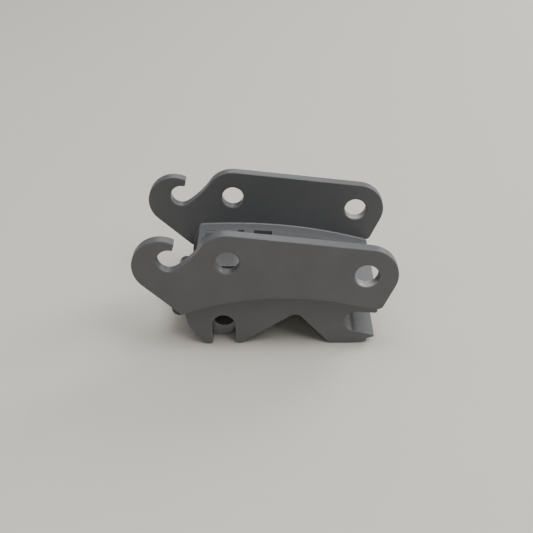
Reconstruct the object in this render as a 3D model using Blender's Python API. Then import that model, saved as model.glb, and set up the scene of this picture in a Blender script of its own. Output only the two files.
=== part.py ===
"""Quick coupler for a model excavator: two hooked side plates on a lower body with a fixed front
jaw and a spring-loaded rear lock.

Frame: +X towards the front jaw, +Y across the coupler, +Z up. The origin is the centre of the
bounding box on the ground plane. Lengths below are in millimetres and are scaled once, when a
mesh is written.
"""
import math

import bmesh
import bpy

MM = 0.001

# Overall build across the width
WIDTH = 40.0            # over the side plates
PLATE_T = 3.0           # side plate thickness
CHEEK_T = 4.0           # lower cheek thickness
FIT = 0.05              # gap left between pieces that are fixed to each other
PLATE_IN = WIDTH / 2 - PLATE_T          # inner face of a side plate
CHEEK_OUT = PLATE_IN - FIT
CHEEK_IN = PLATE_IN - CHEEK_T
CORE = CHEEK_IN - FIT                   # half width of the pieces fixed between the cheeks

# Side plate, in the XZ plane
EYE_R = 3.0
REAR_EYE = (-9.4, 26.3)
FRONT_EYE = (25.4, 22.3)
HOOK_C, HOOK_R = (-25.99, 25.24), 7.35
THROAT_C, THROAT_R = (-23.91, 26.91), 3.01
SWEEP_R = 24.7          # concave edge between the throat and the shoulder
SHOULDER_C, SHOULDER_R = (-9.36, 26.12), 7.88
NOSE_C, NOSE_R = (25.85, 22.25), 7.49
BELLY_C, BELLY_R = (4.3, -59.2), 75.0   # arch of the lower edge
PLATE_FRONT = (29.5, 12.25)             # lower front corner
PLATE_REAR = (-21.4, 10.95)             # lower rear corner

# Lower body, in the XZ plane
DECK_C, DECK_R = (-10.4, -118.84), 137.0
DECK_T = 2.6
BODY_REAR, BODY_FRONT = -19.1, 29.0
SEAT_C, SEAT_R = (-11.1, 5.9), 3.0      # rear pin seat, opens down
JAW_C, JAW_R = (23.3, 6.75), 3.0        # front jaw, opens forward
JAW_BACK = 17.05                        # back face of the jaw block
NOTCH_TOP = (8.0, 9.7)

# Lock: it slides 5.8 mm along -X to clear the rear pin seat
CRADLE_C, CRADLE_R = (-11.1, 6.15), 3.0
SLIDE_HALF = CHEEK_IN - 0.12
RIB_Z = (9.6, 11.0)                     # side ribs that run in the cheek grooves
RIB_OUT = 13.9
GROOVE_CLEAR = 0.15
BAR_C, BAR_R = (-23.0, 8.1), 2.0
LUG_Y, LUG_Z = (8.0, 10.6), (6.5, 9.7)
ROD_Y, ROD_Z, ROD_R = 7.0, 13.2, 0.8
FLANGE_X = (-5.4, -3.2)
REAR_BAR_X = (-18.9, -16.6)
WALL_X = (-3.0, 0.0)
SPRING_R, WIRE_R = 1.3, 0.25
WASHER_T = 0.4

# Cover on the deck
COVER_X, COVER_Y, COVER_TOP = (-17.2, -8.2), 9.3, 19.3
HATCH_X, HATCH_Y = (-13.9, -9.4), 8.4
SCREW_AT = (-15.6, 3.0)


# ---------------------------------------------------------------- scene and materials
for old in list(bpy.data.objects):
    bpy.data.objects.remove(old)

MATERIALS = {
    "plate_grey": ((0.105, 0.107, 0.112), 0.75, 0.42),
    "body_grey": ((0.098, 0.100, 0.105), 0.75, 0.45),
    "lock_grey": ((0.080, 0.082, 0.086), 0.80, 0.40),
    "steel": ((0.42, 0.42, 0.43), 1.00, 0.30),
    "spring_steel": ((0.36, 0.36, 0.38), 1.00, 0.28),
    "screw_black": ((0.035, 0.035, 0.038), 0.80, 0.35),
}


def material(node, kind):
    colour, metallic, rough = MATERIALS[kind]
    mat = bpy.data.materials.new(node + "_" + kind)
    mat.use_nodes = True
    shader = mat.node_tree.nodes["Principled BSDF"]
    shader.inputs["Base Color"].default_value = (*colour, 1.0)
    shader.inputs["Metallic"].default_value = metallic
    shader.inputs["Roughness"].default_value = rough
    return mat


# ---------------------------------------------------------------- plane geometry
def arc(centre, radius, start, end, steps):
    """Points from angle start to angle end in degrees, both ends included."""
    out = []
    for i in range(steps + 1):
        a = math.radians(start + (end - start) * i / steps)
        out.append((centre[0] + radius * math.cos(a), centre[1] + radius * math.sin(a)))
    return out


def angle_to(centre, point):
    return math.degrees(math.atan2(point[1] - centre[1], point[0] - centre[0]))


def height_on(centre, radius, x):
    return centre[1] + math.sqrt(radius * radius - (x - centre[0]) ** 2)


def deck_top(x):
    return height_on(DECK_C, DECK_R, x)


def deck_line(x0, x1, steps, drop=0.0):
    xs = [x0 + (x1 - x0) * i / steps for i in range(steps + 1)]
    return [(x, deck_top(x) - drop) for x in xs]


def tangent_angle(point, centre, radius, side):
    """Angle on the circle where a line from point touches it."""
    reach = math.hypot(point[0] - centre[0], point[1] - centre[1])
    return angle_to(centre, point) + side * math.degrees(math.acos(radius / reach))


def fillet(before, corner, after, radius, steps=5):
    """Arc that rounds off a corner between two straight runs."""
    ux, uz = before[0] - corner[0], before[1] - corner[1]
    vx, vz = after[0] - corner[0], after[1] - corner[1]
    lu, lv = math.hypot(ux, uz), math.hypot(vx, vz)
    ux, uz, vx, vz = ux / lu, uz / lu, vx / lv, vz / lv
    half = math.acos(max(-1.0, min(1.0, ux * vx + uz * vz))) / 2
    run = radius / math.tan(half)
    mx, mz = ux + vx, uz + vz
    lm = math.hypot(mx, mz)
    reach = radius / math.sin(half)
    centre = (corner[0] + mx / lm * reach, corner[1] + mz / lm * reach)
    a0 = angle_to(centre, (corner[0] + ux * run, corner[1] + uz * run))
    a1 = angle_to(centre, (corner[0] + vx * run, corner[1] + vz * run))
    turn = (a1 - a0 + 180.0) % 360.0 - 180.0
    return arc(centre, radius, a0, a0 + turn, steps)


def circle_through(p, q, r):
    ax, az, bx, bz = q[0] - p[0], q[1] - p[1], r[0] - p[0], r[1] - p[1]
    d = 2 * (ax * bz - az * bx)
    sa, sb = ax * ax + az * az, bx * bx + bz * bz
    centre = (p[0] + (bz * sa - az * sb) / d, p[1] + (ax * sb - bx * sa) / d)
    return centre, math.hypot(p[0] - centre[0], p[1] - centre[1])


# ---------------------------------------------------------------- solids
def new_object(name, mesh, kind=None):
    obj = bpy.data.objects.new(name, mesh)
    bpy.context.scene.collection.objects.link(obj)
    if kind:
        mesh.materials.append(material(name, kind))
    return obj


def prism_mesh(name, outline, y0, y1):
    """Closed prism of an XZ outline between two Y planes."""
    bm = bmesh.new()
    near = [bm.verts.new((x * MM, y0 * MM, z * MM)) for x, z in outline]
    far = [bm.verts.new((x * MM, y1 * MM, z * MM)) for x, z in outline]
    bm.faces.new(near)
    bm.faces.new(list(reversed(far)))
    count = len(outline)
    for i in range(count):
        j = (i + 1) % count
        bm.faces.new((near[j], near[i], far[i], far[j]))
    bmesh.ops.recalc_face_normals(bm, faces=bm.faces)
    mesh = bpy.data.meshes.new(name)
    bm.to_mesh(mesh)
    bm.free()
    return mesh


def prism(name, outline, y0, y1, kind=None):
    return new_object(name, prism_mesh(name, outline, y0, y1), kind)


def box(name, xs, ys, zs, kind=None):
    outline = [(xs[0], zs[0]), (xs[0], zs[1]), (xs[1], zs[1]), (xs[1], zs[0])]
    return prism(name, outline, ys[0], ys[1], kind)


def turned(name, profile, axis, at, segments, kind=None):
    """Solid of revolution. profile holds (distance along the axis, radius) pairs."""
    bm = bmesh.new()
    rings = []
    for dist, radius in profile:
        ring = []
        for i in range(segments):
            a = 2 * math.pi * i / segments
            u, v = radius * math.cos(a), radius * math.sin(a)
            spot = {"X": (dist, u, v), "Y": (u, dist, v), "Z": (u, v, dist)}[axis]
            ring.append(bm.verts.new([(c + o) * MM for c, o in zip(spot, at)]))
        rings.append(ring)
    for low, high in zip(rings, rings[1:]):
        for i in range(segments):
            j = (i + 1) % segments
            bm.faces.new((low[i], low[j], high[j], high[i]))
    bm.faces.new(rings[0])
    bm.faces.new(rings[-1])
    bmesh.ops.recalc_face_normals(bm, faces=bm.faces)
    mesh = bpy.data.meshes.new(name)
    bm.to_mesh(mesh)
    bm.free()
    obj = new_object(name, mesh, kind)
    mesh.shade_smooth()
    mesh.set_sharp_from_angle(angle=math.radians(35))
    return obj


def combine(obj, other, operation):
    """Cut other out of obj, or join it on, and hide it as a guide."""
    other.hide_render = True
    other.display_type = "WIRE"
    mod = obj.modifiers.new(operation.lower() + " " + other.name, "BOOLEAN")
    mod.operation = operation
    mod.solver = "EXACT"
    mod.object = other


def cut(obj, cutter):
    combine(obj, cutter, "DIFFERENCE")


def join(obj, extra):
    combine(obj, extra, "UNION")


def hang_on(obj, carrier):
    """Give a moving piece the carrier's place as its origin, and parent it there."""
    spot = carrier.location.copy()
    for vertex in obj.data.vertices:
        vertex.co -= spot
    obj.parent = carrier


def bore(obj, name, axis, at, radius, length, segments=32):
    """Round hole centred on at, running length along the axis."""
    cut(obj, turned(name, [(-length / 2, radius), (length / 2, radius)], axis, at, segments))


def chamfer(obj, width, angle=50.0):
    mod = obj.modifiers.new("edge", "BEVEL")
    mod.width = width * MM
    mod.segments = 1
    mod.limit_method = "ANGLE"
    mod.angle_limit = math.radians(angle)
    mod.use_clamp_overlap = True
    mod.harden_normals = False


# ---------------------------------------------------------------- outlines
def side_plate_outline():
    """Clockwise from the shoulder above the rear eye."""
    run = math.hypot(NOSE_C[0] - SHOULDER_C[0], NOSE_C[1] - SHOULDER_C[1])
    top = angle_to(SHOULDER_C, NOSE_C) + math.degrees(math.acos((SHOULDER_R - NOSE_R) / run))
    low = tangent_angle(PLATE_FRONT, NOSE_C, NOSE_R, 1)
    pts = arc(NOSE_C, NOSE_R, top, low, 22)

    belly_end = (24.0, height_on(BELLY_C, BELLY_R, 24.0))
    pts += fillet(pts[-1], PLATE_FRONT, belly_end, 1.6)
    belly_x = [24.0 + (PLATE_REAR[0] + 2.2 - 24.0) * i / 20 for i in range(21)]
    pts += [(x, height_on(BELLY_C, BELLY_R, x)) for x in belly_x]

    back = tangent_angle(PLATE_REAR, HOOK_C, HOOK_R, -1)
    touch = arc(HOOK_C, HOOK_R, back, back, 1)[0]
    pts += fillet(pts[-1], PLATE_REAR, touch, 1.0)
    pts += arc(HOOK_C, HOOK_R, back + 360.0, 64.5, 26)
    pts += [(-22.66, 31.6), (-22.6, 31.15), (-22.7, 30.2), (-22.96, 29.9)]

    # the edge sweeps up from the throat to the shoulder on one wide arc
    gap = math.hypot(SHOULDER_C[0] - THROAT_C[0], SHOULDER_C[1] - THROAT_C[1])
    ux, uz = (SHOULDER_C[0] - THROAT_C[0]) / gap, (SHOULDER_C[1] - THROAT_C[1]) / gap
    reach, span = SWEEP_R - THROAT_R, SWEEP_R + SHOULDER_R
    along = (reach ** 2 - span ** 2 + gap ** 2) / (2 * gap)
    off = math.sqrt(reach ** 2 - along ** 2)
    sweep = (THROAT_C[0] + along * ux - off * uz, THROAT_C[1] + along * uz + off * ux)
    leave = angle_to(sweep, THROAT_C) % 360.0
    land = angle_to(sweep, SHOULDER_C) % 360.0
    pts += arc(THROAT_C, THROAT_R, 80.0, leave, 24)
    pts += arc(sweep, SWEEP_R, leave, land, 8)[1:-1]
    pts += arc(SHOULDER_C, SHOULDER_R, land - 180.0, top, 12)
    return pts


def jaw_edge():
    """From the top front corner of the body round the jaw and lip to the foot."""
    pts = [(BODY_FRONT, deck_top(BODY_FRONT))]
    pts += fillet(pts[-1], (28.85, 9.35), (JAW_C[0], 9.75), 0.6, 4)
    pts += arc(JAW_C, JAW_R, 90.0, 270.0, 18)
    pts += [(28.3, 2.5), (28.4, 2.3), (28.3, 2.05), (27.7, 1.75), (26.35, 1.4), (26.35, 0.6), (22.0, 0.0)]
    return pts


def cheek_outline():
    """Clockwise from the rear end of the deck line."""
    pts = deck_line(BODY_REAR, BODY_FRONT, 18)[:-1]
    pts += jaw_edge()
    lobe = (-6.5, 0.4)
    pts += fillet((22.0, 0.0), (16.7, 0.0), NOTCH_TOP, 1.4)
    pts += fillet((16.7, 0.0), NOTCH_TOP, lobe, 2.3, 6)
    pts += fillet(NOTCH_TOP, lobe, (-7.9, 0.4), 2.6, 5)[:-1]
    pts += fillet(lobe, (-7.9, 0.4), (-8.1, SEAT_C[1]), 0.4, 3)
    pts += arc(SEAT_C, SEAT_R, 0.0, 180.0, 18)
    pts += fillet((-14.1, SEAT_C[1]), (-14.1, 0.0), (-15.8, 0.0), 0.6, 4)
    leg, radius = circle_through((-15.8, 0.1), (-21.0, 9.35), (BODY_REAR, deck_top(BODY_REAR)))
    end = angle_to(leg, (BODY_REAR, deck_top(BODY_REAR))) % 360.0
    start = angle_to(leg, (-15.8, 0.1)) % 360.0
    pts += arc(leg, radius, start, end, 16)[:-1]
    return pts


def slide_outline():
    """Lock slide: tongue under the pin, cradle, bridge over the pin and spring flange."""
    under = 9.3
    pts = [(-15.9, 0.6), (-20.0, 6.0), (-20.3, 7.2), (-20.3, 11.3), (FLANGE_X[0], 11.3)]
    pts += [(FLANGE_X[0], 15.0), (FLANGE_X[1], 15.0), (FLANGE_X[1], under)]
    pts += fillet((FLANGE_X[1], under), (-14.15, under), (-14.15, 6.2), 0.6, 3)
    pts += arc(CRADLE_C, CRADLE_R, 180.0, 325.0, 14)
    pts += arc((-11.5, 3.3), 3.1, 12.0, -84.0, 8)
    pts += [(-15.3, 0.2)]
    return pts


# ---------------------------------------------------------------- fixed structure
for side, name in ((-1, "left"), (1, "right")):
    y0, y1 = sorted((side * PLATE_IN, side * WIDTH / 2))
    plate = prism("side_plate_" + name, side_plate_outline(), y0, y1, "plate_grey")
    for eye, label in ((REAR_EYE, "rear"), (FRONT_EYE, "front")):
        bore(plate, "cut_%s_eye_%s" % (label, name), "Y", (eye[0], side * 18.5, eye[1]), EYE_R, 6.0)
    chamfer(plate, 0.3)

    y0, y1 = sorted((side * CHEEK_IN, side * CHEEK_OUT))
    cheek = prism("cheek_" + name, cheek_outline(), y0, y1, "body_grey")
    groove = sorted((side * (CHEEK_IN - 1.0), side * (RIB_OUT + GROOVE_CLEAR)))
    heights = (RIB_Z[0] - GROOVE_CLEAR, RIB_Z[1] + GROOVE_CLEAR)
    cut(cheek, box("cut_groove_" + name, (-24.0, FLANGE_X[1] + 0.3), groove, heights))
    chamfer(cheek, 0.2)

deck_shape = deck_line(BODY_REAR, JAW_BACK - FIT, 16)
deck_shape += reversed(deck_line(BODY_REAR, JAW_BACK - FIT, 16, DECK_T))
deck = prism("deck_plate", deck_shape, -CORE, CORE, "body_grey")
for side, name in ((-1, "left"), (1, "right")):
    edge = sorted((side * 14.0, side * 10.85))
    cut(deck, box("cut_long_slot_" + name, (-3.45, 1.65), edge, (10.0, 20.0)))
    edge = sorted((side * 14.0, side * 11.65))
    cut(deck, box("cut_short_slot_" + name, (-8.0, -6.3), edge, (10.0, 20.0)))
    bore(deck, "cut_cover_thread_" + name, "Z", (SCREW_AT[0], side * SCREW_AT[1], 17.0), 0.85, 8.0, 20)
cut(deck, box("cut_hatch", HATCH_X, (-HATCH_Y, HATCH_Y), (10.0, 20.0)))
chamfer(deck, 0.12)

jaw_shape = deck_line(JAW_BACK, BODY_FRONT, 5)[:-1] + jaw_edge() + [(JAW_BACK, 0.0)]
jaw = prism("front_jaw", jaw_shape, -CORE, CORE, "body_grey")
chamfer(jaw, 0.12)

rear_bar = box("rear_cross_bar", REAR_BAR_X, (-CORE, CORE), (11.5, 15.1), "body_grey")
wall = prism("spring_wall", [(WALL_X[0], 7.6), (WALL_X[0], 14.9), (WALL_X[1], 14.7), (WALL_X[1], 7.6)],
             -CORE, CORE, "body_grey")
for side, name in ((-1, "left"), (1, "right")):
    for piece, x in ((rear_bar, REAR_BAR_X[0] + 1.0), (wall, WALL_X[0] + 1.5)):
        bore(piece, "cut_rod_%s_%s" % (piece.name, name), "X", (x, side * ROD_Y, ROD_Z),
             ROD_R + 0.05, 6.0, 20)
chamfer(rear_bar, 0.15)
chamfer(wall, 0.15)
tie = box("lower_tie_bar", (-6.4, -3.2), (-CORE, CORE), (3.2, 7.2), "body_grey")
chamfer(tie, 0.2)

# ---------------------------------------------------------------- lock
slide = prism("lock_slide", slide_outline(), -SLIDE_HALF, SLIDE_HALF, "lock_grey")
for side, name in ((-1, "left"), (1, "right")):
    y0, y1 = sorted((side * (SLIDE_HALF - 1.0), side * RIB_OUT))
    rib = box("add_rib_" + name, (-19.9, FLANGE_X[1] - 0.1), (y0, y1), RIB_Z)
    y0, y1 = sorted((side * LUG_Y[0], side * LUG_Y[1]))
    lug = box("add_lug_" + name, (BAR_C[0], -19.0), (y0, y1), LUG_Z)
    join(slide, rib)
    join(slide, lug)
for side, name in ((-1, "left"), (1, "right")):
    bore(slide, "cut_flange_" + name, "X", (FLANGE_X[0] + 1.0, side * ROD_Y, ROD_Z), ROD_R + 0.08, 5.0, 20)
bore(slide, "cut_bar_seat", "Y", (BAR_C[0], 0.0, BAR_C[1]), BAR_R + 0.05, 30.0)
chamfer(slide, 0.15)

bar = turned("release_bar", [(-13.0, 1.6), (-12.6, BAR_R), (12.6, BAR_R), (13.0, 1.6)], "Y",
             (BAR_C[0], 0.0, BAR_C[1]), 32, "lock_grey")

# The slide and its bar move together along -X from this carrier
carrier = bpy.data.objects.new("lock_carrier", None)
carrier.location = (BAR_C[0] * MM, 0.0, BAR_C[1] * MM)
bpy.context.scene.collection.objects.link(carrier)
hang_on(slide, carrier)
hang_on(bar, carrier)


def coil(name, x0, x1, y, z, kind):
    """Compression spring along X with closed end turns."""
    turns, per_turn, sides = 8.0, 18, 8
    steps = int(turns * per_turn)
    bm = bmesh.new()
    rings = []
    for i in range(steps + 1):
        t = i / steps
        turn = t * turns
        reach = x1 - x0 - 2 * WIRE_R
        flat = 2.2 * WIRE_R / reach
        if turn < 1.0:
            along = flat * turn
        elif turn > turns - 1.0:
            along = 1.0 - flat * (turns - turn)
        else:
            along = flat + (1.0 - 2 * flat) * (turn - 1.0) / (turns - 2.0)
        a = 2 * math.pi * turn
        out = (math.cos(a), math.sin(a))
        x = x0 + WIRE_R + reach * along
        ring = []
        for k in range(sides):
            b = 2 * math.pi * k / sides
            radial = SPRING_R + WIRE_R * math.cos(b)
            ring.append(bm.verts.new(((x + WIRE_R * math.sin(b)) * MM, (y + radial * out[0]) * MM,
                                      (z + radial * out[1]) * MM)))
        rings.append(ring)
    for low, high in zip(rings, rings[1:]):
        for k in range(sides):
            n = (k + 1) % sides
            bm.faces.new((low[k], low[n], high[n], high[k]))
    bm.faces.new(rings[0])
    bm.faces.new(rings[-1])
    bmesh.ops.recalc_face_normals(bm, faces=bm.faces)
    mesh = bpy.data.meshes.new(name)
    bm.to_mesh(mesh)
    bm.free()
    mesh.shade_smooth()
    return new_object(name, mesh, kind)


for side, name in ((-1, "left"), (1, "right")):
    y = side * ROD_Y
    head, seat = REAR_BAR_X[0] - 1.0, REAR_BAR_X[1] + FIT
    rod = [(head, 1.2), (head + 0.15, 1.35), (REAR_BAR_X[0] - FIT, 1.35), (REAR_BAR_X[0] - FIT, ROD_R),
           (2.2, ROD_R), (2.4, ROD_R - 0.2)]
    turned("guide_rod_" + name, rod, "X", (0.0, y, ROD_Z), 24, "steel")
    washer = turned("spring_washer_" + name, [(seat, 1.7), (seat + WASHER_T, 1.7)], "X",
                    (0.0, y, ROD_Z), 24, "steel")
    bore(washer, "cut_washer_" + name, "X", (seat, y, ROD_Z), ROD_R + 0.1, 2.0, 20)
    nut = turned("rod_nut_" + name, [(WALL_X[1] + FIT, 1.6), (WALL_X[1] + 1.45, 1.6)], "X",
                 (0.0, y, ROD_Z), 6, "steel")
    nut.data.shade_flat()
    bore(nut, "cut_nut_" + name, "X", (WALL_X[1] + 0.7, y, ROD_Z), ROD_R + 0.05, 4.0, 20)
    coil("lock_spring_" + name, seat + WASHER_T + FIT, FLANGE_X[0] - FIT, y, ROD_Z, "spring_steel")

# ---------------------------------------------------------------- cover
low = [(x, z + FIT) for x, z in deck_line(COVER_X[0], COVER_X[1], 6)]
cover = prism("lock_cover", [(COVER_X[0], COVER_TOP), (COVER_X[1], COVER_TOP)] + list(reversed(low)),
              -COVER_Y, COVER_Y, "body_grey")
plug = box("add_plug", (HATCH_X[0] + 0.1, HATCH_X[1] - 0.1), (-HATCH_Y + 0.1, HATCH_Y - 0.1),
           (deck_top(HATCH_X[0]) - 1.4, COVER_TOP - 0.3))
join(cover, plug)
for side, name in ((-1, "left"), (1, "right")):
    at = (SCREW_AT[0], side * SCREW_AT[1], 0.0)
    bore(cover, "cut_cover_hole_" + name, "Z", (at[0], at[1], 18.5), 0.95, 4.0, 20)
    shape = [(15.9, 0.6), (16.1, 0.8), (COVER_TOP + FIT, 0.8), (COVER_TOP + FIT, 1.45),
             (COVER_TOP + 0.8, 1.45), (COVER_TOP + 0.95, 1.25)]
    screw = turned("cover_screw_" + name, shape, "Z", at, 24, "screw_black")
    socket = turned("cut_socket_" + name, [(COVER_TOP + 0.35, 0.75), (COVER_TOP + 1.5, 0.75)], "Z", at, 6)
    cut(screw, socket)
chamfer(cover, 0.15)
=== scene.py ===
"""Finished look of the model excavator's quick coupler.

Every CAD node is replaced by a piece with rounded edges and finer curves, in the same place. Lengths
below are in millimetres and are scaled once, when a mesh is written.
"""
import math
import bmesh
import bpy
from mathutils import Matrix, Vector


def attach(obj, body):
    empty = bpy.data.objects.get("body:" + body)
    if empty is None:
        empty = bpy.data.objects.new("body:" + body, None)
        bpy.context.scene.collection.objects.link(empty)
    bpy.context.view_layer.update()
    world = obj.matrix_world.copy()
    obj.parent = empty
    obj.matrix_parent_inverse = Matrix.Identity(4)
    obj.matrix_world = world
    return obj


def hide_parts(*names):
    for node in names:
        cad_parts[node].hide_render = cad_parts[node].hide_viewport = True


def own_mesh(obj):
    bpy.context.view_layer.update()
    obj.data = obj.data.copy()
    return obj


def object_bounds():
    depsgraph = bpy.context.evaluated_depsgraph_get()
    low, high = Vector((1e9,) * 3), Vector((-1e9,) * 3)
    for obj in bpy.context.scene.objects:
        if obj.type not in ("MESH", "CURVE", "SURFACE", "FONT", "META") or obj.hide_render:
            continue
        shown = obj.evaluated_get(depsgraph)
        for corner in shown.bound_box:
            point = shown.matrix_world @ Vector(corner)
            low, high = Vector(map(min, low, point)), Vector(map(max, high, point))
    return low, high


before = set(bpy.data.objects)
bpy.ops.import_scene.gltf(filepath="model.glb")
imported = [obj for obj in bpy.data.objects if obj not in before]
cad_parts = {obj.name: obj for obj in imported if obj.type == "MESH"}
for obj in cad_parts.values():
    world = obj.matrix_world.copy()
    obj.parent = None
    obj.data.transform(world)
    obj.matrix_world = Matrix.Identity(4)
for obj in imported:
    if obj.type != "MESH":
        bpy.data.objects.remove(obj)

CAD_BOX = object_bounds()
MM = 0.001
SHARP = math.radians(35.0)    # edges turned by more than this stay sharp

# Build across the width
WIDTH, PLATE_T, CHEEK_T, FIT = 40.0, 3.0, 4.0, 0.05
PLATE_IN = WIDTH / 2 - PLATE_T
CHEEK_OUT = PLATE_IN - FIT
CHEEK_IN = PLATE_IN - CHEEK_T
CORE = CHEEK_IN - FIT

# Side plate
EYE_R = 3.0
REAR_EYE, FRONT_EYE = (-9.4, 26.3), (25.4, 22.3)
HOOK_C, HOOK_R = (-25.99, 25.24), 7.35
THROAT_C, THROAT_R = (-23.91, 26.91), 3.01
SWEEP_R = 24.7
SHOULDER_C, SHOULDER_R = (-9.36, 26.12), 7.88
NOSE_C, NOSE_R = (25.85, 22.25), 7.49
BELLY_C, BELLY_R = (4.3, -59.2), 75.0
PLATE_FRONT, PLATE_REAR = (29.5, 12.25), (-21.4, 10.95)

# Lower body
DECK_C, DECK_R, DECK_T = (-10.4, -118.84), 137.0, 2.6
BODY_REAR, BODY_FRONT = -19.1, 29.0
SEAT_C, SEAT_R = (-11.1, 5.9), 3.0
JAW_C, JAW_R, JAW_BACK = (23.3, 6.75), 3.0, 17.05
NOTCH_TOP = (8.0, 9.7)

# Lock
CRADLE_C, CRADLE_R = (-11.1, 6.15), 3.0
SLIDE_HALF = CHEEK_IN - 0.12
RIB_Z, RIB_OUT, GROOVE_CLEAR = (9.6, 11.0), 13.9, 0.15
BAR_C, BAR_R, LUG_Y, LUG_Z = (-23.0, 8.1), 2.0, (8.0, 10.6), (6.5, 9.7)
ROD_Y, ROD_Z, ROD_R = 7.0, 13.2, 0.8
FLANGE_X, REAR_BAR_X, WALL_X = (-5.4, -3.2), (-18.9, -16.6), (-3.0, 0.0)
SPRING_R, WIRE_R, WASHER_T = 1.3, 0.25, 0.4
HEAD_R, NUT_R, SOCKET_R = 1.35, 1.6, 0.62
WASHER_R = (1.6, 1.7)    # at its faces, and at its rim
THREAD_FROM, THREAD_PITCH, THREAD_TURNS = -0.6, 0.4, 7

# Cover
COVER_X, COVER_Y, COVER_TOP = (-17.2, -8.2), 9.3, 19.3
HATCH_X, HATCH_Y = (-13.9, -9.4), 8.4
SCREW_AT = (-15.6, 3.0)

# Edge rounding
PLATE_ROUND, BODY_ROUND, COVER_ROUND, BAR_ROUND, EYE_RIM = 0.42, 0.28, 0.36, 0.2, 0.45

# How far cutters reach, past the lower body on every side
PAST_X, PAST_Y, PAST_Z = 40.0, 20.0, (-5.0, 30.0)

# Metal tones: edges where the coat is worn through, also serving as painted highlight, and a painted
# highlight low in the front eye bores
WORN_METAL_AND_SHEEN, PAINTED_BORE_HIGHLIGHT = (0.30, 0.305, 0.315), (0.42, 0.402, 0.388)

# The view and the lights, in metres and degrees
CAMERA_AT = (0.002504, -0.211087, 0.137536)
CAMERA_TURN = (59.585140, 0.612519, 0.295707)
LENS = 60.456
LIGHT_AWAY, LIGHT_AIM = 0.9, (0.0, 0.0, 0.01)


# ---------------------------------------------------------------- plane geometry
def arc(centre, radius, start, end, steps):
    out = []
    for i in range(steps + 1):
        a = math.radians(start + (end - start) * i / steps)
        out.append((centre[0] + radius * math.cos(a), centre[1] + radius * math.sin(a)))
    return out


def angle_to(centre, point):
    return math.degrees(math.atan2(point[1] - centre[1], point[0] - centre[0]))


def height_on(centre, radius, x):
    return centre[1] + math.sqrt(radius * radius - (x - centre[0]) ** 2)


def deck_top(x):
    return height_on(DECK_C, DECK_R, x)


def deck_line(x0, x1, steps, drop=0.0):
    xs = [x0 + (x1 - x0) * i / steps for i in range(steps + 1)]
    return [(x, deck_top(x) - drop) for x in xs]


def tangent_angle(point, centre, radius, side):
    reach = math.hypot(point[0] - centre[0], point[1] - centre[1])
    return angle_to(centre, point) + side * math.degrees(math.acos(radius / reach))


def fillet(before, corner, after, radius, steps=10):
    ux, uz = before[0] - corner[0], before[1] - corner[1]
    vx, vz = after[0] - corner[0], after[1] - corner[1]
    lu, lv = math.hypot(ux, uz), math.hypot(vx, vz)
    ux, uz, vx, vz = ux / lu, uz / lu, vx / lv, vz / lv
    half = math.acos(max(-1.0, min(1.0, ux * vx + uz * vz))) / 2
    run = radius / math.tan(half)
    mx, mz = ux + vx, uz + vz
    lm = math.hypot(mx, mz)
    reach = radius / math.sin(half)
    centre = (corner[0] + mx / lm * reach, corner[1] + mz / lm * reach)
    a0 = angle_to(centre, (corner[0] + ux * run, corner[1] + uz * run))
    a1 = angle_to(centre, (corner[0] + vx * run, corner[1] + vz * run))
    turn = (a1 - a0 + 180.0) % 360.0 - 180.0
    return arc(centre, radius, a0, a0 + turn, steps)


def circle_through(p, q, r):
    ax, az, bx, bz = q[0] - p[0], q[1] - p[1], r[0] - p[0], r[1] - p[1]
    d = 2 * (ax * bz - az * bx)
    sa, sb = ax * ax + az * az, bx * bx + bz * bz
    centre = (p[0] + (bz * sa - az * sb) / d, p[1] + (ax * sb - bx * sa) / d)
    return centre, math.hypot(p[0] - centre[0], p[1] - centre[1])


# ---------------------------------------------------------------- outlines
def side_plate_outline():
    """Clockwise from the top of the nose."""
    run = math.hypot(NOSE_C[0] - SHOULDER_C[0], NOSE_C[1] - SHOULDER_C[1])
    top = angle_to(SHOULDER_C, NOSE_C) + math.degrees(math.acos((SHOULDER_R - NOSE_R) / run))
    low = tangent_angle(PLATE_FRONT, NOSE_C, NOSE_R, 1)
    pts = arc(NOSE_C, NOSE_R, top, low, 44)
    belly_end = (24.0, height_on(BELLY_C, BELLY_R, 24.0))
    pts += fillet(pts[-1], PLATE_FRONT, belly_end, 1.6)
    belly_x = [24.0 + (PLATE_REAR[0] + 2.2 - 24.0) * i / 40 for i in range(41)]
    pts += [(x, height_on(BELLY_C, BELLY_R, x)) for x in belly_x]
    back = tangent_angle(PLATE_REAR, HOOK_C, HOOK_R, -1)
    touch = arc(HOOK_C, HOOK_R, back, back, 1)[0]
    pts += fillet(pts[-1], PLATE_REAR, touch, 1.0)
    pts += arc(HOOK_C, HOOK_R, back + 360.0, 66.5, 52)
    pts += fillet(pts[-1], (-22.45, 31.71), (-22.7, 30.1), 0.4, 5)
    pts += fillet((-22.55, 30.75), (-22.76, 29.82), (-23.49, 29.89), 0.35, 5)
    # the edge sweeps up from the throat to the shoulder on one wide arc
    gap = math.hypot(SHOULDER_C[0] - THROAT_C[0], SHOULDER_C[1] - THROAT_C[1])
    ux, uz = (SHOULDER_C[0] - THROAT_C[0]) / gap, (SHOULDER_C[1] - THROAT_C[1]) / gap
    reach, span = SWEEP_R - THROAT_R, SWEEP_R + SHOULDER_R
    along = (reach ** 2 - span ** 2 + gap ** 2) / (2 * gap)
    off = math.sqrt(reach ** 2 - along ** 2)
    sweep = (THROAT_C[0] + along * ux - off * uz, THROAT_C[1] + along * uz + off * ux)
    leave = angle_to(sweep, THROAT_C) % 360.0
    land = angle_to(sweep, SHOULDER_C) % 360.0
    pts += arc(THROAT_C, THROAT_R, 82.0, leave, 48)
    pts += arc(sweep, SWEEP_R, leave, land, 24)[1:-1]
    pts += arc(SHOULDER_C, SHOULDER_R, land - 180.0, top, 32)
    return pts


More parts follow.
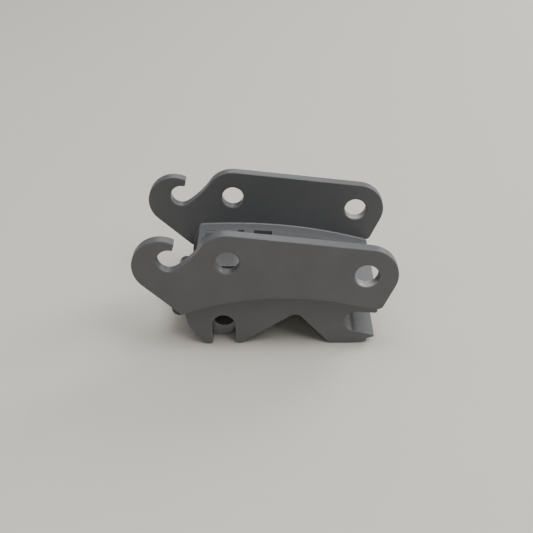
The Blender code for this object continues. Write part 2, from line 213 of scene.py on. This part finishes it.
def jaw_edge():
    pts = [(BODY_FRONT, deck_top(BODY_FRONT))]
    pts += fillet(pts[-1], (28.85, 9.35), (JAW_C[0], 9.75), 0.6, 6)
    pts += arc(JAW_C, JAW_R, 90.0, 270.0, 36)
    pts += fillet((JAW_C[0], 3.8), (28.45, 2.45), (28.2, 1.9), 0.2, 3)
    pts += fillet((28.45, 2.4), (28.2, 1.95), (27.0, 1.55), 0.2, 3)
    pts += [(26.4, 1.4), (26.35, 1.35), (26.35, 0.7), (26.2, 0.58), (22.0, 0.0)]
    return pts


def cheek_outline():
    pts = deck_line(BODY_REAR, BODY_FRONT, 36)[:-1]
    pts += jaw_edge()
    lobe = (-6.5, 0.4)
    pts += fillet((22.0, 0.0), (16.7, 0.0), NOTCH_TOP, 1.4)
    pts += fillet((16.7, 0.0), NOTCH_TOP, lobe, 2.3, 12)
    pts += fillet(NOTCH_TOP, lobe, (-7.9, 0.4), 2.6, 8)[:-1]
    pts += fillet(lobe, (-7.9, 0.4), (-8.1, SEAT_C[1]), 0.4, 4)
    pts += arc(SEAT_C, SEAT_R, 0.0, 180.0, 36)
    pts += fillet((-14.1, SEAT_C[1]), (-14.1, 0.0), (-15.8, 0.0), 0.6, 6)
    corner = (BODY_REAR, deck_top(BODY_REAR))
    leg, radius = circle_through((-15.8, 0.1), (-21.0, 9.35), corner)
    start, end = angle_to(leg, (-15.8, 0.1)) % 360.0, angle_to(leg, corner) % 360.0
    pts += arc(leg, radius, start, end, 32)[:-1]
    return pts


def slide_outline():
    under = 9.3
    pts = [(-15.9, 0.6), (-20.0, 6.0), (-20.3, 7.2), (-20.3, 11.3), (FLANGE_X[0], 11.3)]
    pts += [(FLANGE_X[0], 15.0), (FLANGE_X[1], 15.0), (FLANGE_X[1], under)]
    pts += fillet((FLANGE_X[1], under), (-14.15, under), (-14.15, 6.2), 0.6, 6)
    pts += arc(CRADLE_C, CRADLE_R, 180.0, 325.0, 30)
    pts += arc((-11.5, 3.3), 3.1, 12.0, -84.0, 16)
    pts += [(-15.3, 0.2)]
    return pts


# ---------------------------------------------------------------- solids
def from_bmesh(name, bm, smooth=True):
    bmesh.ops.recalc_face_normals(bm, faces=bm.faces)
    mesh = bpy.data.meshes.new(name)
    bm.to_mesh(mesh)
    bm.free()
    if smooth:
        mesh.shade_smooth()
    obj = bpy.data.objects.new(name, mesh)
    bpy.context.scene.collection.objects.link(obj)
    return obj


def prism(name, outline, y0, y1):
    bm = bmesh.new()
    near = [bm.verts.new((x * MM, y0 * MM, z * MM)) for x, z in outline]
    far = [bm.verts.new((x * MM, y1 * MM, z * MM)) for x, z in outline]
    bm.faces.new(near)
    bm.faces.new(list(reversed(far)))
    count = len(outline)
    for i in range(count):
        j = (i + 1) % count
        bm.faces.new((near[j], near[i], far[i], far[j]))
    return from_bmesh(name, bm)


def box(name, xs, ys, zs):
    outline = [(xs[0], zs[0]), (xs[0], zs[1]), (xs[1], zs[1]), (xs[1], zs[0])]
    return prism(name, outline, ys[0], ys[1])


def turned(name, profile, axis, at, segments=48):
    """Solid of revolution from (distance along the axis, radius) pairs."""
    bm = bmesh.new()
    rings = []
    for dist, radius in profile:
        ring = []
        for i in range(segments):
            a = 2 * math.pi * (i + 0.5) / segments
            u, v = radius * math.cos(a), radius * math.sin(a)
            spot = {"X": (dist, u, v), "Y": (u, dist, v), "Z": (u, v, dist)}[axis]
            ring.append(bm.verts.new([(c + o) * MM for c, o in zip(spot, at)]))
        rings.append(ring)
    for low, high in zip(rings, rings[1:]):
        for i in range(segments):
            j = (i + 1) % segments
            bm.faces.new((low[i], low[j], high[j], high[i]))
    bm.faces.new(rings[0])
    bm.faces.new(rings[-1])
    obj = from_bmesh(name, bm)
    obj.data.set_sharp_from_angle(angle=SHARP)
    return obj


def carve(obj, others, operation="DIFFERENCE"):
    """Boolean the others with obj, keep the result as obj's own mesh and drop the others."""
    for other in others:
        mod = obj.modifiers.new("carve", "BOOLEAN")
        mod.operation = operation
        mod.solver = "EXACT"
        mod.object = other
    settle(obj)
    for other in others:
        bpy.data.objects.remove(other)


def settle(obj):
    """Turn what the modifiers give into the object's own mesh."""
    depsgraph = bpy.context.evaluated_depsgraph_get()
    mesh = bpy.data.meshes.new_from_object(obj.evaluated_get(depsgraph), depsgraph=depsgraph)
    obj.modifiers.clear()
    old = obj.data
    obj.data = mesh
    name = old.name
    bpy.data.meshes.remove(old)
    mesh.name = name


def round_edges(obj, width, segments=3, angle=38.0):
    bevel = obj.modifiers.new("round", "BEVEL")
    bevel.width = width * MM
    bevel.segments = segments
    bevel.limit_method = "ANGLE"
    bevel.angle_limit = math.radians(angle)
    bevel.use_clamp_overlap = True
    even_out(obj)


def even_out(obj):
    """Weight the normals by face area, so that flat faces shade flat up to their rounded edges."""
    even = obj.modifiers.new("even", "WEIGHTED_NORMAL")
    even.mode = "FACE_AREA"
    even.weight = 50
    even.keep_sharp = True
    settle(obj)


def mark_cuts(obj):
    """Keep the edges left by a cut sharp."""
    old = obj.data.attributes.get("custom_normal")
    if old:
        obj.data.attributes.remove(old)
    obj.data.set_sharp_from_angle(angle=SHARP)
    even_out(obj)


def hole(axis, at, radius, length, segments=64):
    return turned("hole", [(-length / 2, radius), (length / 2, radius)], axis, at, segments)


def eye_cutter(eye, side, steps=8):
    """Bore through a side plate, with its rims rounded into both faces."""
    half, rim = PLATE_T / 2, EYE_RIM
    low = []
    for i in range(steps + 1):
        a = math.radians(90.0 * i / steps)
        low.append((-half + rim * (1.0 - math.cos(a)), EYE_R + rim * (1.0 - math.sin(a))))
    high = [(-dist, radius) for dist, radius in reversed(low)]
    shape = [(-half - 1.0, EYE_R + rim)] + low + high + [(half + 1.0, EYE_R + rim)]
    return turned("eye", shape, "Y", (eye[0], side * (PLATE_IN + half), eye[1]), 96)


def fit_out(obj, node, body, mat):
    obj.data.materials.clear()
    obj.data.materials.append(mat)
    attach(obj, body)
    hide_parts(node)


# ---------------------------------------------------------------- materials
class Nodes:
    """Short names for building one node tree."""

    def __init__(self, name):
        self.mat = bpy.data.materials.new(name)
        self.mat.use_nodes = True
        self.tree = self.mat.node_tree
        self.shader = self.tree.nodes["Principled BSDF"]
        self.place = self.tree.nodes.new("ShaderNodeTexCoord").outputs["Object"]

    def add(self, kind, **values):
        node = self.tree.nodes.new("ShaderNode" + kind)
        for key, value in values.items():
            if hasattr(node, key):
                setattr(node, key, value)
            else:
                node.inputs[key.replace("_", " ")].default_value = value
        return node

    def link(self, source, target):
        self.tree.links.new(source, target)

    def noise(self, scale, detail=3.0, rough=0.55, stretch=None):
        """Noise whose scale is in cells per metre."""
        place = self.place
        if stretch:
            mapping = self.add("Mapping")
            mapping.inputs["Scale"].default_value = stretch
            self.link(place, mapping.inputs["Vector"])
            place = mapping.outputs["Vector"]
        node = self.add("TexNoise")
        node.inputs["Scale"].default_value = scale
        node.inputs["Detail"].default_value = detail
        node.inputs["Roughness"].default_value = rough
        self.link(place, node.inputs["Vector"])
        return node.outputs["Fac"]

    def span(self, value, low, high, to_low=0.0, to_high=1.0):
        """Map low..high to to_low..to_high, and hold the ends."""
        node = self.add("MapRange")
        limits = {"From Min": low, "From Max": high, "To Min": to_low, "To Max": to_high}
        for key, number in limits.items():
            node.inputs[key].default_value = number
        self.link(value, node.inputs["Value"])
        return node.outputs["Result"]

    def math(self, operation, a, b):
        node = self.add("Math", operation=operation)
        for socket, value in zip(node.inputs, (a, b)):
            if isinstance(value, (int, float)):
                socket.default_value = value
            else:
                self.link(value, socket)
        return node.outputs["Value"]

    def mix(self, factor, a, b):
        node = self.add("Mix", data_type="RGBA")
        colour_in = [s for s in node.inputs if s.type == "RGBA"]
        self.link(factor, node.inputs["Factor"])
        for socket, value in zip(colour_in, (a, b)):
            if isinstance(value, tuple):
                socket.default_value = (*value, 1.0)
            else:
                self.link(value, socket)
        return next(s for s in node.outputs if s.type == "RGBA")

    def edge_mask(self, radius, low, high):
        """1 along convex and concave edges, from how far the rounded normal leans."""
        rounder = self.add("Bevel", samples=6)
        rounder.inputs["Radius"].default_value = radius * MM
        geometry = self.add("NewGeometry")
        dot = self.add("VectorMath", operation="DOT_PRODUCT")
        self.link(rounder.outputs["Normal"], dot.inputs[0])
        self.link(geometry.outputs["Normal"], dot.inputs[1])
        return self.span(dot.outputs["Value"], low, high, 1.0, 0.0)

    def bore_floor(self, centre, radius, fade):
        """Mask for a painted highlight: 1 low in a bore along Y, falling to 0 up its sides and past its rim.
        """
        flat = self.add("VectorMath", operation="MULTIPLY")
        flat.inputs[1].default_value = (1.0, 0.0, 1.0)
        self.link(self.place, flat.inputs[0])
        away = self.add("VectorMath", operation="DISTANCE")
        away.inputs[1].default_value = (centre[0] * MM, 0.0, centre[1] * MM)
        self.link(flat.outputs["Vector"], away.inputs[0])
        inside = self.span(away.outputs["Value"], radius * MM, (radius + fade) * MM, 1.0, 0.0)
        parts = self.add("SeparateXYZ")
        self.link(self.place, parts.inputs["Vector"])
        bottom, side = centre[1] - 0.88 * radius, centre[1] - 0.40 * radius
        low = self.span(parts.outputs["Z"], bottom * MM, side * MM, 1.0, 0.0)
        return self.math("MULTIPLY", inside, low)

    def bump(self, height, distance, strength=1.0):
        node = self.add("Bump")
        node.inputs["Strength"].default_value = strength
        node.inputs["Distance"].default_value = distance * MM
        self.link(height, node.inputs["Height"])
        self.link(node.outputs["Normal"], self.shader.inputs["Normal"])


def coat(name, colour, wear_and_sheen=0.25, rough=0.42, gloss=0.5, highlight_eye=None):
    """Satin grey coat over metal: grain, mottling, edges lightened as worn coat and painted highlight, and a
    painted highlight low in the eye bore given.
    """
    n = Nodes(name)
    n.shader.inputs["Specular IOR Level"].default_value = gloss
    fine, broad = n.noise(5200.0, 4.0, 0.6), n.noise(140.0, 4.0, 0.6)
    light = tuple(c * 1.07 for c in colour)
    dark = tuple(c * 0.94 for c in colour)
    body = n.mix(n.span(broad, 0.3, 0.7), dark, light)
    pale, deep = tuple(c * 1.12 for c in colour), tuple(c * 0.9 for c in colour)
    speck = n.mix(n.span(fine, 0.35, 0.75), deep, pale)
    body = n.mix(n.math("MULTIPLY", n.span(fine, 0.3, 0.7), 0.45), body, speck)
    edge = n.edge_mask(0.45, 0.86, 0.99)
    patchy = n.span(n.noise(900.0, 5.0, 0.65), 0.42, 0.62, 0.4, 1.0)
    # lighter edges: wear on the coat and painted highlight along the rims
    wear_and_highlight = n.math("MULTIPLY", n.math("MULTIPLY", edge, patchy), wear_and_sheen)
    skin = n.mix(wear_and_highlight, body, WORN_METAL_AND_SHEEN)
    # painted highlight: the lower part of the eye bore is lightened towards polished metal
    if highlight_eye:
        uneven = n.span(broad, 0.25, 0.6, 0.8, 1.0)
        skin = n.mix(n.math("MULTIPLY", n.bore_floor(highlight_eye, EYE_R, 0.3), uneven), skin, PAINTED_BORE_HIGHLIGHT)
    n.link(skin, n.shader.inputs["Base Color"])
    rough_map = n.span(n.noise(1500.0, 4.0, 0.6), 0.3, 0.7, rough - 0.05, rough + 0.07)
    n.link(n.math("SUBTRACT", rough_map, n.math("MULTIPLY", wear_and_highlight, 0.12)), n.shader.inputs["Roughness"])
    coarse = n.noise(2400.0, 3.0, 0.5)
    grain = n.math("ADD", n.math("MULTIPLY", fine, 0.6), n.math("MULTIPLY", coarse, 0.6))
    n.bump(grain, 0.010, 0.55)
    return n.mat


def turned_steel(name, colour, rough, stretch):
    """Bare steel with fine lines from turning or drawing, and faint stains."""
    n = Nodes(name)
    n.shader.inputs["Metallic"].default_value = 1.0
    lines = n.noise(2600.0, 3.0, 0.5, stretch)
    stain = n.noise(420.0, 4.0, 0.6)
    bright, dull, dark = (tuple(c * k for c in colour) for k in (1.15, 0.8, 0.72))
    tone = n.mix(n.span(stain, 0.3, 0.72), dull, bright)
    tone = n.mix(n.math("MULTIPLY", n.span(lines, 0.35, 0.7), 0.35), tone, dark)
    n.link(tone, n.shader.inputs["Base Color"])
    n.link(n.span(lines, 0.25, 0.75, rough - 0.07, rough + 0.1), n.shader.inputs["Roughness"])
    n.bump(lines, 0.006, 0.5)
    return n.mat


PLATE = coat("plate_coat", (0.1018, 0.1037, 0.1070), 0.34, 0.38, 0.30, FRONT_EYE)
BODY = coat("body_coat", (0.117, 0.1186, 0.1215), 0.30, 0.38, 0.30)
# the cover's grey is darker than the body's as painted shade
COVER = coat("cover_painted_shade", (0.069, 0.0692, 0.0700), 0.55, 0.38, 0.30)
# the deck fillets are lighter than the body as a painted highlight along the seams
FILLET = coat("fillet_painted_highlight", (0.150, 0.151, 0.154), 0.1, 0.30)
# the lock's grey is set above its own tone as painted light, so its shaded seat and cradle read lighter
LOCK = coat("lock_coat_painted_light", (0.185, 0.186, 0.193), 0.55, 0.36, 1.0)
BAR = coat("bar_coat", (0.066, 0.0665, 0.0680), 0.30, 0.38, 0.30)
STEEL = turned_steel("turned_steel", (0.50, 0.50, 0.51), 0.30, (6.0, 1.0, 1.0))
WIRE = turned_steel("spring_wire", (0.38, 0.385, 0.40), 0.27, (0.6, 1.0, 1.0))
BLACK = coat("screw_black", (0.030, 0.030, 0.033), 0.5, 0.34)

# ---------------------------------------------------------------- fixed structure
SIDES = ((-1, "left"), (1, "right"))


def span_y(side, a, b):
    return sorted((side * a, side * b))


for side, name in SIDES:
    plate = prism("plate_" + name, side_plate_outline(), *span_y(side, PLATE_IN, WIDTH / 2))
    carve(plate, [eye_cutter(eye, side) for eye in (REAR_EYE, FRONT_EYE)])
    round_edges(plate, PLATE_ROUND)
    fit_out(plate, "side_plate_" + name, "frame", PLATE)

    cheek = prism("jaw_cheek_" + name, cheek_outline(), *span_y(side, CHEEK_IN - 1.0, CHEEK_OUT))
    round_edges(cheek, BODY_ROUND)
    groove = span_y(side, CHEEK_IN - 1.5, RIB_OUT + GROOVE_CLEAR)
    heights = (RIB_Z[0] - GROOVE_CLEAR, RIB_Z[1] + GROOVE_CLEAR)
    carve(cheek, [box("inner_side", (-PAST_X, PAST_X), span_y(side, CHEEK_IN - 2.0, CHEEK_IN), PAST_Z),
                  box("groove", (-24.0, FLANGE_X[1] + 0.3), groove, heights)])
    mark_cuts(cheek)
    fit_out(cheek, "cheek_" + name, "frame", BODY)


def trimmed(obj, name, ends):
    """Cut obj back to the cheeks' inner faces, and over the length given."""
    across = [("trim_left", (-PAST_X, PAST_X), (-PAST_Y, -CHEEK_IN)),
              ("trim_right", (-PAST_X, PAST_X), (CHEEK_IN, PAST_Y)),
              (name, ends, (-PAST_Y, PAST_Y))]
    carve(obj, [box(*part, PAST_Z) for part in across])


# The deck, the jaw and the cheeks are rounded before they are trimmed, so the joints between them stay flush
shape = deck_line(BODY_REAR, JAW_BACK + 1.0, 40)
shape += reversed(deck_line(BODY_REAR, JAW_BACK + 1.0, 40, DECK_T))
deck = prism("curved_deck", shape, -CHEEK_IN - 1.0, CHEEK_IN + 1.0)
round_edges(deck, BODY_ROUND)
trimmed(deck, "trim_front", (JAW_BACK, PAST_X))
cuts = [box("hatch", HATCH_X, (-HATCH_Y, HATCH_Y), (10.0, 20.0))]
for side, name in SIDES:
    cuts.append(box("long_slot", (-3.45, 1.65), span_y(side, 14.0, 10.85), (10.0, 20.0)))
    cuts.append(box("short_slot", (-8.0, -6.3), span_y(side, 14.0, 11.65), (10.0, 20.0)))
    cuts.append(box("line", (-17.95, -14.25), span_y(side, 14.0, 12.72), (17.4, 20.0)))
    cuts.append(hole("Z", (SCREW_AT[0], side * SCREW_AT[1], 17.0), 0.85, 8.0, 32))
carve(deck, cuts)
mark_cuts(deck)
fit_out(deck, "deck_plate", "frame", BODY)

shape = deck_line(JAW_BACK - 1.0, BODY_FRONT, 12)[:-1] + jaw_edge() + [(JAW_BACK - 1.0, 0.0)]
jaw = prism("jaw_block", shape, -CHEEK_IN - 1.0, CHEEK_IN + 1.0)
round_edges(jaw, BODY_ROUND)
trimmed(jaw, "trim_back", (-PAST_X, JAW_BACK))
mark_cuts(jaw)
fit_out(jaw, "front_jaw", "frame", BODY)

rear_bar = box("rear_bar", REAR_BAR_X, (-CORE, CORE), (11.5, 15.1))
shape = [(WALL_X[0], 7.6), (WALL_X[0], 14.9), (WALL_X[1], 14.7), (WALL_X[1], 7.6)]
wall = prism("rod_wall", shape, -CORE, CORE)
for piece, x in ((rear_bar, REAR_BAR_X[0] + 1.0), (wall, WALL_X[0] + 1.5)):
    carve(piece, [hole("X", (x, side * ROD_Y, ROD_Z), ROD_R + 0.05, 6.0, 40) for side, _ in SIDES])
    round_edges(piece, BAR_ROUND)
fit_out(rear_bar, "rear_cross_bar", "frame", BODY)
fit_out(wall, "spring_wall", "frame", BODY)
tie = box("tie_bar", (-6.4, -3.2), (-CORE, CORE), (3.2, 7.2))
round_edges(tie, 0.3)
fit_out(tie, "lower_tie_bar", "frame", BODY)


def seam_fillet(name, side, size):
    """Concave fillet between the deck's edge and the inner face of a side plate."""
    curve = arc((PLATE_IN - size, size), size, 0.0, -90.0, 8)
    section = [(PLATE_IN, -0.1)] + curve + [(PLATE_IN - size, -0.1)]
    bm = bmesh.new()
    rings = []
    for x, z in deck_line(BODY_REAR + 0.35, BODY_FRONT - 0.35, 60):
        rings.append([bm.verts.new((x * MM, side * y * MM, (z + up) * MM)) for y, up in section])
    count = len(section)
    for low, high in zip(rings, rings[1:]):
        for i in range(count):
            j = (i + 1) % count
            bm.faces.new((low[i], low[j], high[j], high[i]))
    bm.faces.new(rings[0])
    bm.faces.new(rings[-1])
    obj = from_bmesh(name, bm)
    obj.data.set_sharp_from_angle(angle=SHARP)
    return obj


for side, name in SIDES:
    bead = seam_fillet("deck_fillet_" + name, side, 0.35)
    bead.data.materials.append(FILLET)
    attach(bead, "frame")

# ---------------------------------------------------------------- lock
slide = prism("slide", slide_outline(), -SLIDE_HALF, SLIDE_HALF)
extras = []
for side, name in SIDES:
    extras.append(box("rib", (-19.9, FLANGE_X[1] - 0.1), span_y(side, SLIDE_HALF - 1.0, RIB_OUT), RIB_Z))
    extras.append(box("lug", (BAR_C[0], -19.0), span_y(side, *LUG_Y), LUG_Z))
carve(slide, extras, "UNION")
carve(slide, [hole("X", (FLANGE_X[0] + 1.0, side * ROD_Y, ROD_Z), ROD_R + 0.08, 5.0, 40) for side, _ in SIDES]
      + [hole("Y", (BAR_C[0], 0.0, BAR_C[1]), BAR_R + 0.05, 30.0)])
round_edges(slide, 0.22)
fit_out(slide, "lock_slide", "lock", LOCK)

left_end = [(-13.0, 1.3), (-12.93, 1.5), (-12.8, 1.72), (-12.6, 1.88), (-12.35, 1.97), (-12.1, BAR_R)]
right_end = [(-dist, radius) for dist, radius in reversed(left_end)]
bar = turned("handle_bar", left_end + right_end, "Y", (BAR_C[0], 0.0, BAR_C[1]), 64)
fit_out(bar, "release_bar", "lock", BAR)


def coil(name, x0, x1, y, z):
    """Compression spring along X with closed end turns."""
    turns, per_turn, sides = 8.0, 40, 12
    steps = int(turns * per_turn)
    reach = x1 - x0 - 2 * WIRE_R
    flat = 2.2 * WIRE_R / reach
    bm = bmesh.new()
    rings = []
    for i in range(steps + 1):
        turn = i / steps * turns
        if turn < 1.0:
            along = flat * turn
        elif turn > turns - 1.0:
            along = 1.0 - flat * (turns - turn)
        else:
            along = flat + (1.0 - 2 * flat) * (turn - 1.0) / (turns - 2.0)
        a = 2 * math.pi * turn
        x = x0 + WIRE_R + reach * along
        ring = []
        for k in range(sides):
            b = 2 * math.pi * k / sides
            radial = SPRING_R + WIRE_R * math.cos(b)
            ring.append(bm.verts.new(((x + WIRE_R * math.sin(b)) * MM, (y + radial * math.cos(a)) * MM,
                                      (z + radial * math.sin(a)) * MM)))
        rings.append(ring)
    for low, high in zip(rings, rings[1:]):
        for k in range(sides):
            m = (k + 1) % sides
            bm.faces.new((low[k], low[m], high[m], high[k]))
    bm.faces.new(rings[0])
    bm.faces.new(rings[-1])
    return from_bmesh(name, bm)


for side, name in SIDES:
    y = side * ROD_Y
    head, seat = REAR_BAR_X[0] - 1.0, REAR_BAR_X[1] + FIT
    shank = [(head, 1.0), (head + 0.05, 1.15), (head + 0.18, 1.3), (head + 0.35, HEAD_R)]
    shank += [(REAR_BAR_X[0] - FIT, HEAD_R), (REAR_BAR_X[0] - FIT, ROD_R), (THREAD_FROM, ROD_R)]
    for i in range(THREAD_TURNS):
        x = THREAD_FROM + THREAD_PITCH * i
        shank += [(x + 0.1, ROD_R), (x + 0.2, ROD_R - 0.1), (x + 0.3, ROD_R)]
    shank += [(2.3, ROD_R - 0.08), (2.4, ROD_R - 0.22)]
    rod = turned("rod_" + name, shank, "X", (0.0, y, ROD_Z), 40)
    carve(rod, [turned("socket", [(head - 1.0, SOCKET_R), (head + 0.6, SOCKET_R)], "X", (0.0, y, ROD_Z), 6)])
    fit_out(rod, "guide_rod_" + name, "frame", STEEL)
    section = [(seat, WASHER_R[0]), (seat + 0.08, WASHER_R[1])]
    section += [(seat + WASHER_T - 0.08, WASHER_R[1]), (seat + WASHER_T, WASHER_R[0])]
    washer = turned("washer_" + name, section, "X", (0.0, y, ROD_Z))
    carve(washer, [hole("X", (seat, y, ROD_Z), ROD_R + 0.1, 2.0, 40)])
    fit_out(washer, "spring_washer_" + name, "frame", STEEL)
    section = [(WALL_X[1] + FIT, NUT_R), (WALL_X[1] + 1.45, NUT_R)]
    nut = turned("nut_" + name, section, "X", (0.0, y, ROD_Z), 6)
    carve(nut, [hole("X", (WALL_X[1] + 0.7, y, ROD_Z), ROD_R + 0.05, 4.0, 40)])
    round_edges(nut, 0.12, 2)
    fit_out(nut, "rod_nut_" + name, "frame", STEEL)
    start, end = seat + WASHER_T + FIT, FLANGE_X[0] - FIT
    spring = coil("spring_" + name, start, end, y, ROD_Z)
    fit_out(spring, "lock_spring_" + name, "frame", WIRE)
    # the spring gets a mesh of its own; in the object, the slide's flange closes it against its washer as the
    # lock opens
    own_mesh(spring)

# ---------------------------------------------------------------- cover
shape = [(COVER_X[0], COVER_TOP), (COVER_X[1], COVER_TOP)]
shape += [(x, z + FIT) for x, z in reversed(deck_line(COVER_X[0], COVER_X[1], 12))]
cover = prism("hatch_cover", shape, -COVER_Y, COVER_Y)
carve(cover, [box("plug", (HATCH_X[0] + 0.1, HATCH_X[1] - 0.1), (-HATCH_Y + 0.1, HATCH_Y - 0.1),
                  (deck_top(HATCH_X[0]) - 1.4, COVER_TOP - 0.3))], "UNION")
carve(cover, [hole("Z", (SCREW_AT[0], side * SCREW_AT[1], 18.5), 0.95, 4.0, 40) for side, _ in SIDES])
round_edges(cover, COVER_ROUND)
fit_out(cover, "lock_cover", "frame", COVER)
for side, name in SIDES:
    at, top = (SCREW_AT[0], side * SCREW_AT[1], 0.0), COVER_TOP
    shape = [(15.9, 0.6), (16.1, 0.8), (top + FIT, 0.8), (top + FIT, 1.4)]
    shape += [(top + 0.12, 1.45), (top + 0.7, 1.45), (top + 0.86, 1.38), (top + 0.95, 1.2)]
    screw = turned("screw_" + name, shape, "Z", at)
    carve(screw, [turned("socket", [(top + 0.35, 0.75), (top + 1.5, 0.75)], "Z", at, 6)])
    fit_out(screw, "cover_screw_" + name, "frame", BLACK)


# ---------------------------------------------------------------- floor, light and camera
def floor_material():
    n = Nodes("floor")
    n.shader.inputs["Roughness"].default_value = 0.7
    n.shader.inputs["Specular IOR Level"].default_value = 0.2
    drift = n.span(n.noise(3.0, 2.0, 0.5), 0.3, 0.7)
    n.link(n.mix(drift, (0.590, 0.560, 0.502), (0.603, 0.573, 0.514)), n.shader.inputs["Base Color"])
    return n.mat


bm = bmesh.new()
bmesh.ops.create_grid(bm, x_segments=1, y_segments=1, size=3.0)
floor = from_bmesh("floor", bm, False)
floor.location.z = CAD_BOX[0].z - 0.00002
floor.data.materials.append(floor_material())


def round_the_stage(name, azimuth, elevation, size, power):
    """A soft white disc turned to the object; azimuth 0 is in front, 90 on the right and 180 behind."""
    a, e = math.radians(azimuth), math.radians(elevation)
    level = LIGHT_AWAY * math.cos(e)
    place = (level * math.sin(a), -level * math.cos(a), LIGHT_AWAY * math.sin(e))
    data = bpy.data.lights.new(name, "AREA")
    data.shape = "DISK"
    data.size = size
    data.energy = power
    obj = bpy.data.objects.new(name, data)
    obj.location = place
    obj.rotation_euler = (Vector(LIGHT_AIM) - Vector(place)).to_track_quat("-Z", "Y").to_euler()
    bpy.context.scene.collection.objects.link(obj)


round_the_stage("overhead_front", 0.0, 88.0, 0.4, 1.12)
round_the_stage("overhead_wide", 0.0, 88.0, 1.1, 0.85)
round_the_stage("key", 60.0, 72.0, 0.5, 2.80)
round_the_stage("upper_left", 300.0, 72.0, 0.5, 0.70)
round_the_stage("upper_front", 0.0, 72.0, 0.5, 0.68)
round_the_stage("right_front", 45.0, 52.0, 0.45, 1.99)
round_the_stage("left", 270.0, 50.0, 0.45, 0.6)
round_the_stage("right_rear", 135.0, 52.0, 0.45, 0.57)
round_the_stage("left_rear", 240.0, 52.0, 0.45, 0.57)
round_the_stage("right", 90.0, 30.0, 0.4, 1.44)
round_the_stage("right_back", 135.0, 30.0, 0.4, 4.20)
round_the_stage("front", 0.0, 30.0, 0.4, 0.72)
round_the_stage("back", 180.0, 30.0, 0.4, 0.92)

world = bpy.data.worlds.new("studio")
world.use_nodes = True
backdrop = world.node_tree.nodes["Background"]
backdrop.inputs["Color"].default_value = (0.97, 0.98, 1.0, 1.0)
backdrop.inputs["Strength"].default_value = 0.133
bpy.context.scene.world = world

camera_data = bpy.data.cameras.new("camera")
camera_data.sensor_width = 36.0
camera_data.lens = LENS
camera_data.clip_start = 0.01
camera = bpy.data.objects.new("camera", camera_data)
camera.location = CAMERA_AT
camera.rotation_euler = [math.radians(a) for a in CAMERA_TURN]
bpy.context.scene.collection.objects.link(camera)
bpy.context.scene.camera = camera
